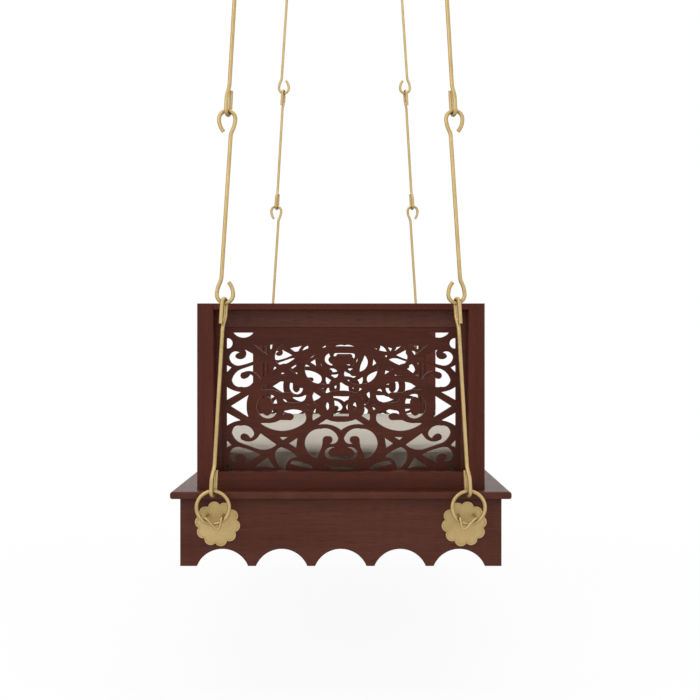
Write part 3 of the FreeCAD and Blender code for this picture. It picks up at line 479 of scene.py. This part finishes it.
@dataclass(frozen=True)
class AgedBrass:
    """Satin brass with a little handling wear and painted shade in its hollows."""

    bright: Triple = (0.500, 0.372, 0.176)
    dull: Triple = (0.395, 0.280, 0.120)
    # Painted shade: the colour is multiplied down in hollows and where parts touch, within this
    # reach.
    shade_in_hollows: Triple = (0.42, 0.34, 0.24)
    shade_reach: float = 9 * MILLIMETRE
    cloud_scale: float = 30.0
    grit_scale: float = 420.0
    scuff_scale: Triple = (240.0, 240.0, 40.0)
    age_shares: Triple = (0.45, 0.35, 0.20)
    age_stops: Pair = (0.38, 0.60)
    polish: float = 0.40
    cloud_roughness: float = 0.12
    scuff_roughness: float = 0.08
    height_shares: Pair = (0.6, 0.4)
    relief: Relief = Relief(0.22, 0.10 * MILLIMETRE, 0.3 * MILLIMETRE)

    def material(self) -> bpy.types.Material:
        """Make the finish.

        Returns:
            The brass material.
        """
        surface = Surface("brass")
        where = surface.place()
        cloud = surface.noise(where, self.cloud_scale, 4.0, 0.6)
        grit = surface.noise(where, self.grit_scale, 3.0, 0.65)
        scuff = surface.noise(surface.place(self.scuff_scale), 1.0, 3.0, 0.7)
        age = weighted([cloud, grit, scuff], self.age_shares)
        tone = surface.ramp(age, self.age_stops, (self.dull, self.bright))
        rough = self.polish + cloud * self.cloud_roughness + scuff * self.scuff_roughness
        # Painted shade in hollows and where parts touch, from ambient occlusion.
        surface.feed("Base Color", surface.shaded(tone, self.shade_in_hollows, self.shade_reach))
        surface.feed("Metallic", 1.0)
        surface.feed("Roughness", rough)
        surface.bump(weighted([grit, scuff], self.height_shares), self.relief)
        return surface.material


@dataclass(frozen=True)
class ZincSteel:
    """Zinc-plated steel for the studs, pins, nuts and screws."""

    tint: Triple = (0.50, 0.50, 0.51)
    dulled: float = 0.7
    spangle_scale: float = 160.0
    spangle_stops: Pair = (0.35, 0.65)
    polish: float = 0.34
    spangle_roughness: float = 0.2
    relief: Relief = Relief(0.2, 0.1 * MILLIMETRE)

    def material(self) -> bpy.types.Material:
        """Make the finish.

        Returns:
            The steel material.
        """
        surface = Surface("zinc_steel")
        spangle = surface.noise(surface.place(), self.spangle_scale, 3.0, 0.6)
        darker = tuple(channel * self.dulled for channel in self.tint)
        tone = surface.ramp(spangle, self.spangle_stops, (darker, self.tint))
        surface.feed("Base Color", tone)
        surface.feed("Metallic", 1.0)
        surface.feed("Roughness", self.polish + spangle * self.spangle_roughness)
        surface.bump(spangle, self.relief)
        return surface.material


@dataclass(frozen=True)
class MattressCotton:
    """Undyed plain-weave cotton, warp along X and weft along Y."""

    light: Triple = (0.455, 0.400, 0.322)
    shade: Triple = (0.365, 0.318, 0.250)
    threads_per_metre: float = 900.0
    slub_scale: Triple = (30.0, 320.0, 320.0)
    soil_scale: float = 5.0
    tone_shares: Triple = (0.45, 0.45, 0.06)
    tone_stops: Pair = (0.28, 0.58)
    roughness: float = 0.86
    sheen: float = 0.25
    sheen_roughness: float = 0.5
    height_shares: Pair = (0.35, 0.65)
    relief: Relief = Relief(0.4, 0.35 * MILLIMETRE)

    def material(self) -> bpy.types.Material:
        """Make the finish.

        Returns:
            The cotton's material.
        """
        surface = Surface("mattress_cotton")
        where = surface.place()
        turns = 2 * math.pi * self.threads_per_metre
        warp, weft, border = [
            (surface.node("ShaderNodeSeparateXYZ", {}, {"Vector": where}, axis) * turns).sine()
            for axis in "XYZ"
        ]
        weave = warp * weft * 0.5 + border * 0.5
        slub = surface.noise(surface.place(self.slub_scale), 1.0, 3.0, 0.6)
        soil = surface.noise(where, self.soil_scale, 3.0, 0.5)
        tone = weighted([slub, soil, weave], self.tone_shares)
        surface.feed("Base Color", surface.ramp(tone, self.tone_stops, (self.shade, self.light)))
        surface.feed("Roughness", self.roughness)
        surface.feed("Sheen Weight", self.sheen)
        surface.feed("Sheen Roughness", self.sheen_roughness)
        surface.bump(weighted([weave, slub], self.height_shares), self.relief)
        return surface.material


# ---------------------------------------------------------------- mesh helpers


def dress(node_name: str, material: bpy.types.Material) -> None:
    """Give a CAD node its finish.

    Args:
        node_name: the node.
        material: its finish.
    """
    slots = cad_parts[node_name].data.materials
    if len(slots) == 0:
        slots.append(material)
    for number in range(len(slots)):
        slots[number] = material


def deselect_all() -> None:
    """Leave object mode's selection empty."""
    for item in bpy.context.selected_objects:
        item.select_set(False)


def pick(piece: bpy.types.Object) -> None:
    """Make one object the only selected and active one.

    Args:
        piece: the object.
    """
    deselect_all()
    piece.select_set(True)
    bpy.context.view_layer.objects.active = piece


def settle(piece: bpy.types.Object) -> None:
    """Apply an object's place, turn and scale to its mesh."""
    pick(piece)
    bpy.ops.object.transform_apply(location=True, rotation=True, scale=True)


def apply_modifiers(piece: bpy.types.Object) -> None:
    """Apply every modifier of a piece.

    Args:
        piece: the object, changed in place.
    """
    pick(piece)
    for modifier in list(piece.modifiers):
        bpy.ops.object.modifier_apply(modifier=modifier.name)


def select_edges(piece: bpy.types.Object, wanted: Callable[[Vector, Vector], bool]) -> None:
    """Select a mesh's edges by their two ends, in object mode.

    Args:
        piece: the object.
        wanted: says of an edge's two ends whether it is selected.
    """
    points = piece.data.vertices
    for edge in piece.data.edges:
        first, last = (points[number].co for number in edge.vertices)
        edge.select = wanted(first, last)


def clean_shell(piece: bpy.types.Object) -> None:
    """Merge doubled points and point every face outwards.

    Args:
        piece: the object, changed in place.
    """
    pick(piece)
    bpy.ops.object.mode_set(mode="EDIT")
    bpy.ops.mesh.select_all(action="SELECT")
    bpy.ops.mesh.remove_doubles(threshold=0.01 * MILLIMETRE)
    bpy.ops.mesh.normals_make_consistent(inside=False)
    bpy.ops.object.mode_set(mode="OBJECT")


# ---------------------------------------------------------------- sub-assemblies


@dataclass
class WoodenSeat:
    """Deck, aprons and end panels: packed timber parts, each dressed along its grain."""

    def build(self) -> int:
        """Dress every timber node.

        Returns:
            How many nodes were dressed.
        """
        sides = [f"{part}_{end}" for part in ("bottom_rail", "jali_board") for end in ENDS]
        boards = {
            (Grain.ALONG_X, WARM): ["seat_board", "apron_front", "apron_back"],
            (Grain.ALONG_Y, WARM): ["apron_left", "apron_right", "cross_battens"],
            (Grain.ALONG_Y, DEEP): [f"top_rail_{end}" for end in ENDS],
            # Painted shade: the darker copy of the stain on the jali boards and bottom rails.
            (Grain.ALONG_Y, PAINTED_SHADE_TONE): sides,
            # Painted reflection: the lighter, greyer copy of the stain on the inner frames.
            (Grain.ALONG_Y, PAINTED_REFLECTION_TONE): [f"inner_frame_{end}" for end in ENDS],
            (Grain.ALONG_Z, DEEP): [f"post_{corner}" for corner in CORNERS] + ["corner_blocks"],
        }
        for (grain, tone), names in boards.items():
            material = PolishedTimber(grain, tone).material()
            for name in names:
                dress(name, material)
        return sum(len(names) for names in boards.values())


@dataclass
class Hangings:
    """Brass chains, rings, rosettes, staples and ceiling fittings."""

    rods: tuple[str, ...] = ("hook_rod_lower", "hook_rod_upper", "eye_rod_lower", "eye_rod_upper")
    fittings: tuple[str, ...] = ("ring", "staple", "swing_link", "ceiling_bracket", "rosette")
    fasteners: tuple[str, ...] = ("anchor_bolts", "axle_pins", "staple_nuts", "wood_screws")

    def build(self) -> int:
        """Dress every metal node.

        Returns:
            How many nodes were dressed.
        """
        brass = AgedBrass().material()
        steel = ZincSteel().material()
        names = [f"{part}_{corner}" for part in self.rods + self.fittings for corner in CORNERS]
        for name in names:
            dress(name, brass)
        for name in self.fasteners:
            dress(name, steel)
        return len(names) + len(self.fasteners)


@dataclass
class Mattress:
    """Boxed cotton mattress with corded seams, swelled by a cloth simulation."""

    voxel: float = 6 * MILLIMETRE
    inset: float = 3 * MILLIMETRE
    cap: float = 7 * MILLIMETRE
    corner_round: float = 14 * MILLIMETRE
    edge_round: float = 9 * MILLIMETRE
    side_bulge: float = 11 * MILLIMETRE
    pressure: float = 4.0
    frames: int = 20
    play: float = 0.5 * MILLIMETRE
    crown: float = 5 * MILLIMETRE
    corner_segments: int = 6
    edge_segments: int = 3
    seam_drop: float = 7 * MILLIMETRE
    cord_radius: float = 1.3 * MILLIMETRE
    cord_corner_segments: int = 8
    cord_cuts: int = 60
    cord_resolution: int = 3
    low: Vector = field(init=False)
    high: Vector = field(init=False)

    def build(self) -> list[bpy.types.Object]:
        """Make, swell and dress the mattress.

        Returns:
            The mattress and the cords of its two seams.
        """
        self.low, self.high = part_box("mattress")
        cotton = MattressCotton().material()
        block = self._block()
        self._swell(block)
        self._settle_in_place(block)
        smooth = block.modifiers.new("Smooth", "SUBSURF")
        smooth.levels = smooth.render_levels = 1
        apply_modifiers(block)
        bpy.ops.object.shade_smooth()
        block.name = "mattress_body"
        top_seam = self.high.z - self.seam_drop
        foot_seam = self.low.z + self.seam_drop
        pieces = [block, self._cord(block, "top", top_seam), self._cord(block, "foot", foot_seam)]
        for piece in pieces:
            piece.data.materials.clear()
            piece.data.materials.append(cotton)
            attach(piece, "seat")
        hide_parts("mattress")
        return pieces

    def _block(self) -> bpy.types.Object:
        """A block a little smaller than the finished mattress, its edges eased, meshed evenly.

        Returns:
            The block.
        """
        middle = (self.low + self.high) / 2
        size = self.high - self.low
        deselect_all()
        bpy.ops.mesh.primitive_cube_add(size=1.0, location=middle)
        block = bpy.context.object
        block.scale = (size.x - 2 * self.inset, size.y + self.side_bulge, size.z - self.inset)
        settle(block)
        bpy.ops.object.mode_set(mode="EDIT")
        bpy.ops.mesh.select_mode(type="EDGE")
        bpy.ops.mesh.select_all(action="DESELECT")
        bpy.ops.object.mode_set(mode="OBJECT")
        select_edges(block, lambda first, last: abs(first.z - last.z) > self.edge_round)
        bpy.ops.object.mode_set(mode="EDIT")
        bpy.ops.mesh.bevel(
            offset=self.corner_round, segments=self.corner_segments, affect="EDGES"
        )
        bpy.ops.object.mode_set(mode="OBJECT")
        ease = block.modifiers.new("Ease", "BEVEL")
        ease.width = self.edge_round
        ease.segments = self.edge_segments
        ease.limit_method = "ANGLE"
        ease.angle_limit = math.radians(60)
        remesh = block.modifiers.new("Even", "REMESH")
        remesh.mode = "VOXEL"
        remesh.voxel_size = self.voxel
        apply_modifiers(block)
        return block

    def _swell(self, block: bpy.types.Object) -> None:
        """Swell the block by pressure and keep every point near where it started.

        Args:
            block: the evenly meshed block, changed in place.
        """
        start = [vertex.co.copy() for vertex in block.data.vertices]
        cloth = block.modifiers.new("Swell", "CLOTH")
        cloth.settings.use_pressure = True
        cloth.settings.uniform_pressure_force = self.pressure
        cloth.settings.effector_weights.gravity = 0.0
        scene = bpy.context.scene
        for number in range(1, self.frames + 1):
            scene.frame_set(number)
        apply_modifiers(block)
        scene.frame_set(1)
        for vertex, first in zip(block.data.vertices, start):
            step = vertex.co - first
            if step.length > self.cap:
                vertex.co = first + step.normalized() * self.cap

    def _settle_in_place(self, block: bpy.types.Object) -> None:
        """Lay the underside flat on the deck and keep the ends between the end panels.

        Args:
            block: the swelled block, changed in place.
        """
        floor = self.low + Vector((self.play, -self.side_bulge, self.play))
        roof = self.high + Vector((-self.play, self.side_bulge, self.crown))
        for vertex in block.data.vertices:
            for axis in range(3):
                vertex.co[axis] = min(max(vertex.co[axis], floor[axis]), roof[axis])

    def _seam(self, height: float) -> bpy.types.Object:
        """A closed line with rounded corners, just outside the mattress.

        Args:
            height: z of the seam.

        Returns:
            The line, as a mesh of edges.
        """
        middle = (self.low + self.high) / 2
        size = self.high - self.low
        deselect_all()
        bpy.ops.mesh.primitive_plane_add(size=1.0, location=(middle.x, middle.y, height))
        seam = bpy.context.object
        seam.scale = (size.x, size.y + 2 * self.side_bulge, 1.0)
        settle(seam)
        bpy.ops.object.mode_set(mode="EDIT")
        bpy.ops.mesh.select_all(action="SELECT")
        bpy.ops.mesh.bevel(
            offset=self.corner_round, segments=self.cord_corner_segments, affect="VERTICES"
        )
        bpy.ops.mesh.select_all(action="SELECT")
        bpy.ops.mesh.delete(type="ONLY_FACE")
        bpy.ops.object.mode_set(mode="OBJECT")
        select_edges(seam, lambda first, last: (first - last).length > self.corner_round)
        bpy.ops.object.mode_set(mode="EDIT")
        bpy.ops.mesh.select_mode(type="EDGE")
        bpy.ops.mesh.subdivide(number_cuts=self.cord_cuts)
        bpy.ops.object.mode_set(mode="OBJECT")
        return seam

    def _cord(self, block: bpy.types.Object, level: str, height: float) -> bpy.types.Object:
        """The cord sewn into a seam, laid on the swelled mattress all the way round.

        Args:
            block: the finished mattress.
            level: which seam it closes, for its name.
            height: z of the seam.

        Returns:
            The cord.
        """
        cord = self._seam(height)
        wrap = cord.modifiers.new("Lay", "SHRINKWRAP")
        wrap.target = block
        apply_modifiers(cord)
        bpy.ops.object.convert(target="CURVE")
        cord = bpy.context.object
        cord.data.bevel_depth = self.cord_radius
        cord.data.bevel_resolution = self.cord_resolution
        bpy.ops.object.convert(target="MESH")
        cord = bpy.context.object
        clean_shell(cord)
        bpy.ops.object.shade_smooth()
        cord.name = f"mattress_cord_{level}"
        return cord


@dataclass(frozen=True)
class Lamp:
    """A square soft lamp: its place from the middle of the deck, its side and its power."""

    name: str
    place: Triple
    side: float
    watts: float


@dataclass
class Studio:
    """Camera, soft lamps, pale floor and white surroundings."""

    lens: float = 60.15
    sensor: float = 36.0
    camera_out: float = 3.11
    camera_aside: float = 18.5 * MILLIMETRE
    camera_rise: float = 0.285
    floor_gap: float = 0.42
    floor_side: float = 60.0
    floor_colour: Triple = (0.92, 0.92, 0.91)
    floor_roughness: float = 0.9
    floor_glow: float = 0.93
    shadow_reach: Pair = (0.8, 2.4)
    surround_light: float = 0.5
    lamps: tuple[Lamp, ...] = (
        Lamp("key", (3.6, -2.2, 1.6), 2.4, 52.0),
        Lamp("fill", (3.2, 2.6, 0.9), 2.4, 28.0),
        Lamp("top", (0.0, 0.0, 2.6), 3.0, 46.0),
        Lamp("back", (-3.4, 0.0, 1.4), 3.4, 10.0),
    )
    deck_top: float = field(init=False)

    def build(self) -> None:
        """Set up everything that isn't part of the swing."""
        self.deck_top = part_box("seat_board")[1].z
        self._camera()
        for lamp in self.lamps:
            self._light(lamp)
        self._floor()
        self._world()
        bpy.context.scene.view_settings.view_transform = "Standard"

    def _camera(self) -> None:
        """A level camera off the right-hand end, looking along the seat."""
        data = bpy.data.cameras.new("camera")
        data.lens = self.lens
        data.sensor_width = self.sensor
        camera = bpy.data.objects.new("camera", data)
        bpy.context.scene.collection.objects.link(camera)
        camera.location = (self.camera_out, self.camera_aside, self.deck_top + self.camera_rise)
        camera.rotation_euler = (math.radians(90), 0.0, math.radians(90))
        bpy.context.scene.camera = camera

    def _light(self, lamp: Lamp) -> None:
        """Hang a lamp and turn it to the middle of the deck.

        Args:
            lamp: the lamp.
        """
        data = bpy.data.lights.new(lamp.name, "AREA")
        data.size = lamp.side
        data.energy = lamp.watts
        light = bpy.data.objects.new(lamp.name, data)
        bpy.context.scene.collection.objects.link(light)
        away = Vector(lamp.place)
        light.location = Vector((0.0, 0.0, self.deck_top)) + away
        light.rotation_euler = (-away).to_track_quat("-Z", "Y").to_euler()

    def _floor(self) -> None:
        """A pale floor that reads as white and keeps a faint shadow."""
        deselect_all()
        height = self.deck_top - self.floor_gap
        bpy.ops.mesh.primitive_plane_add(size=self.floor_side, location=(0.0, 0.0, height))
        floor = bpy.context.object
        floor.name = "floor"
        surface = Surface("pale_floor")
        surface.feed("Base Color", (*self.floor_colour, 1.0))
        surface.feed("Roughness", self.floor_roughness)
        length = {"operation": "LENGTH"}
        away = surface.node("ShaderNodeVectorMath", length, {0: surface.place()}, "Value")
        near, far = self.shadow_reach
        spread = {"Value": away, "From Min": near, "From Max": far, "To Min": self.floor_glow}
        plain = surface.node("ShaderNodeMapRange", {"interpolation_type": "SMOOTHSTEP"}, spread)
        glow = surface.node("ShaderNodeEmission", {}, {"Strength": 1.0})
        lit = Socket(surface.tree, surface.shader.outputs["BSDF"])
        shaders = {0: surface.background_rays() * plain, 1: lit, 2: glow}
        mixed = surface.node("ShaderNodeMixShader", {}, shaders)
        surface.tree.links.new(mixed.output, surface.end.inputs["Surface"])
        floor.data.materials.append(surface.material)

    def _world(self) -> None:
        """White surroundings that light the swing gently."""
        world = bpy.data.worlds.new("studio")
        bpy.context.scene.world = world
        world.use_nodes = True
        graph = Graph(world.node_tree)
        background = graph.tree.nodes["Background"]
        background.inputs["Color"].default_value = (*WHITE, 1.0)
        strength = graph.background_rays() * (1.0 - self.surround_light) + self.surround_light
        graph.tree.links.new(strength.output, background.inputs["Strength"])


def main() -> None:
    """Build the swing's finishes and pieces in order, then the studio."""
    logging.basicConfig(level=logging.INFO, format="%(name)s: %(message)s")
    LOG.info("timber nodes dressed: %d", WoodenSeat().build())
    LOG.info("metal nodes dressed: %d", Hangings().build())
    for piece in Mattress().build():
        LOG.info("%s: %d faces", piece.name, len(piece.data.polygons))
    Studio().build()
    bpy.context.view_layer.update()


if __name__ == "__main__":
    main()
